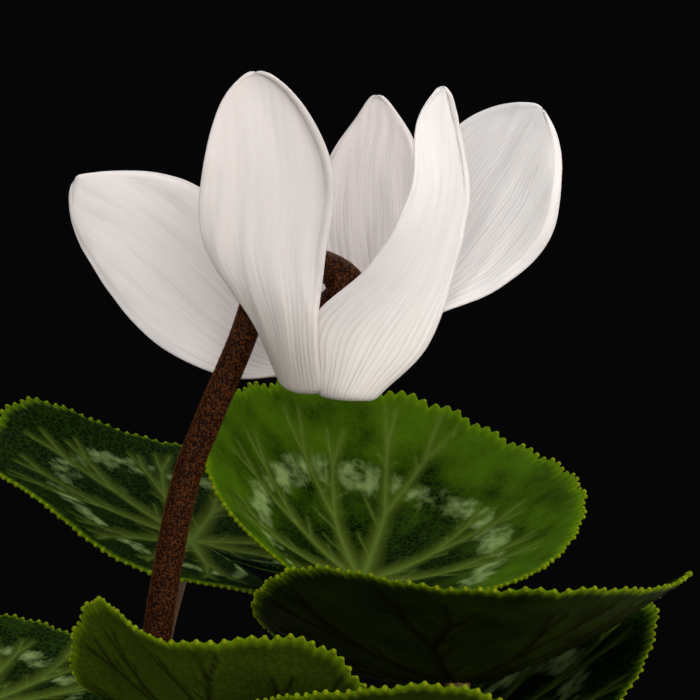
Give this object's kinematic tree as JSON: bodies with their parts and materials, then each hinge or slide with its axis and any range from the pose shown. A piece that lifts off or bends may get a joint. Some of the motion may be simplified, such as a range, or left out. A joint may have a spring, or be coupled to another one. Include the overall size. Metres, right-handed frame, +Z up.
{
  "type": "potted cyclamen",
  "caption": "Potted cyclamen with an open white flower on a hooked brown stalk over round, toothed, silver-marked leaves, in a plain round pot.",
  "frame": {"origin": "middle of the pot's flat underside", "axes": "+Z up, -Y towards the front that the picture shows, +X to the right of it, the way the flower stalk leans"},
  "size_m": [0.1759, 0.1748, 0.2203],
  "materials": {
    "pot_glaze": "satin",
    "potting_soil": "matte",
    "corm_skin": "matte",
    "petal_white": "matte",
    "stalk_brown": "matte",
    "anther_yellow": "matte",
    "leaf_green": "satin",
    "petiole_brown": "satin"
  },
  "bodies": {
    "root": {"pot": "pot_glaze", "potting_soil": "potting_soil", "corm": "corm_skin", "corolla": "petal_white", "flower_stem": "stalk_brown", "anther_cone": "anther_yellow", "leaf_01_blade": "leaf_green", "leaf_01_petiole": "petiole_brown", "leaf_02_blade": "leaf_green", "leaf_02_petiole": "petiole_brown", "leaf_03_blade": "leaf_green", "leaf_03_petiole": "petiole_brown", "leaf_04_blade": "leaf_green", "leaf_04_petiole": "petiole_brown", "leaf_05_blade": "leaf_green", "leaf_05_petiole": "petiole_brown", "leaf_06_blade": "leaf_green", "leaf_06_petiole": "petiole_brown", "leaf_07_blade": "leaf_green", "leaf_07_petiole": "petiole_brown", "leaf_08_blade": "leaf_green", "leaf_08_petiole": "petiole_brown", "leaf_09_blade": "leaf_green", "leaf_09_petiole": "petiole_brown", "leaf_10_blade": "leaf_green", "leaf_10_petiole": "petiole_brown", "leaf_11_blade": "leaf_green", "leaf_11_petiole": "petiole_brown", "leaf_12_blade": "leaf_green", "leaf_12_petiole": "petiole_brown", "leaf_13_blade": "leaf_green", "leaf_13_petiole": "petiole_brown", "leaf_14_blade": "leaf_green", "leaf_14_petiole": "petiole_brown", "leaf_15_blade": "leaf_green", "leaf_15_petiole": "petiole_brown", "leaf_16_blade": "leaf_green", "leaf_16_petiole": "petiole_brown", "leaf_17_blade": "leaf_green", "leaf_17_petiole": "petiole_brown", "leaf_18_blade": "leaf_green", "leaf_18_petiole": "petiole_brown", "leaf_19_blade": "leaf_green", "leaf_19_petiole": "petiole_brown"}
  },
  "joints": []
}
